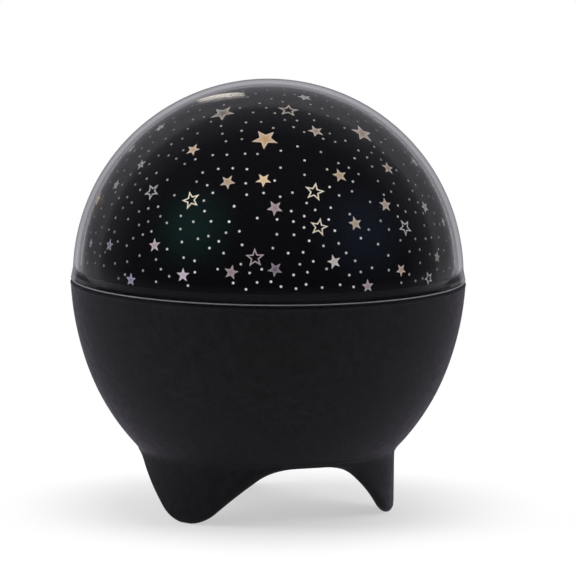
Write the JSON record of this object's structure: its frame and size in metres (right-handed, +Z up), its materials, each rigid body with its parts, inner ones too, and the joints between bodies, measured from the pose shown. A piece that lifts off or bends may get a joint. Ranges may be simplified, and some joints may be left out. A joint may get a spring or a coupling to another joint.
{
  "type": "planetarium projector",
  "caption": "Star projector night light: a printed star dome turns over a fixed light under a clear cover, on a bowl with wave-shaped legs.",
  "frame": {"origin": "on the floor, under the middle of the bowl", "axes": "+Z up along the turntable's axis; -Y points to the front leg, +Y to the buttons and the power socket"},
  "size_m": [0.13, 0.13, 0.1416],
  "materials": {
    "body": "fine moulded texture",
    "cover": "clear gloss polystyrene",
    "star_print": "printed film with clear stars",
    "inner_plastic": "plain moulded",
    "natural_plastic": "unfilled acetal",
    "button": "satin",
    "steel": "zinc plated",
    "brass": "machined",
    "white_board": "white solder mask",
    "led": "lens and phosphor",
    "cell": "printed sleeve",
    "green_board": "green solder mask",
    "component": "moulded epoxy",
    "lead": "soft insulation"
  },
  "bodies": {
    "housing": {"body_shell": "body", "deck": "inner_plastic", "light_post": "natural_plastic", "led_board": "white_board", "led_chips": "led", "gear_axle": "steel", "motor_can": "steel", "motor_end_cap": "natural_plastic", "motor_clamp": "steel", "base_plate": "body", "battery_cells": "cell", "battery_springs": "steel", "battery_contacts": "steel", "main_board": "green_board", "board_components": "component", "tact_switches": "component", "power_socket": "steel", "deck_screws": "steel", "base_screws": "steel", "clamp_screws": "steel", "post_screws": "steel", "led_screws": "steel", "board_screws": "steel", "battery_leads": "lead", "motor_leads": "lead", "led_leads": "lead"},
    "cover": {"clear_cover": "cover"},
    "turntable": {"turntable": "inner_plastic", "star_dome": "star_print"},
    "gear": {"reduction_gear": "natural_plastic"},
    "rotor": {"motor_pinion": "brass", "motor_shaft": "steel"},
    "light_button": {"light_button": "button"},
    "colour_button": {"colour_button": "button"},
    "turn_button": {"turn_button": "button"},
    "door": {"battery_door": "body", "battery_door_screw": "steel"}
  },
  "joints": [
    {"name": "turntable_spin", "type": "hinge", "parent": "housing", "child": "turntable", "pos_m": [0, 0, 0.0725], "axis": [0, 0, 1], "continuous": true},
    {"name": "gear_spin", "type": "hinge", "parent": "housing", "child": "gear", "pos_m": [0.03118, -0.018, 0.068], "axis": [0, 0, 1], "continuous": true},
    {"name": "motor_spin", "type": "hinge", "parent": "housing", "child": "rotor", "pos_m": [0.01676, -0.03186, 0.067], "axis": [0, 0, 1], "continuous": true},
    {"name": "cover_lift", "type": "slide", "parent": "housing", "child": "cover", "axis": [0, 0, 1], "range_m": [0, 0.075]},
    {"name": "light_button_press", "type": "slide", "parent": "housing", "child": "light_button", "axis": [0, -1, 0], "range_m": [0, 0.0008], "stiffness_N_per_m": 600, "springref_m": -0.0015},
    {"name": "colour_button_press", "type": "slide", "parent": "housing", "child": "colour_button", "axis": [0, -1, 0], "range_m": [0, 0.0008], "stiffness_N_per_m": 600, "springref_m": -0.0015},
    {"name": "turn_button_press", "type": "slide", "parent": "housing", "child": "turn_button", "axis": [0, -1, 0], "range_m": [0, 0.0008], "stiffness_N_per_m": 600, "springref_m": -0.0015},
    {"name": "battery_door_swing", "type": "hinge", "parent": "housing", "child": "door", "pos_m": [0, -0.0252, 0.02], "axis": [-1, 0, 0], "range_deg": [0, 40]}
  ],
  "couplings": [
    {"joint": "gear_spin", "follows": "turntable_spin", "ratio": -5},
    {"joint": "motor_spin", "follows": "turntable_spin", "ratio": 20}
  ]
}
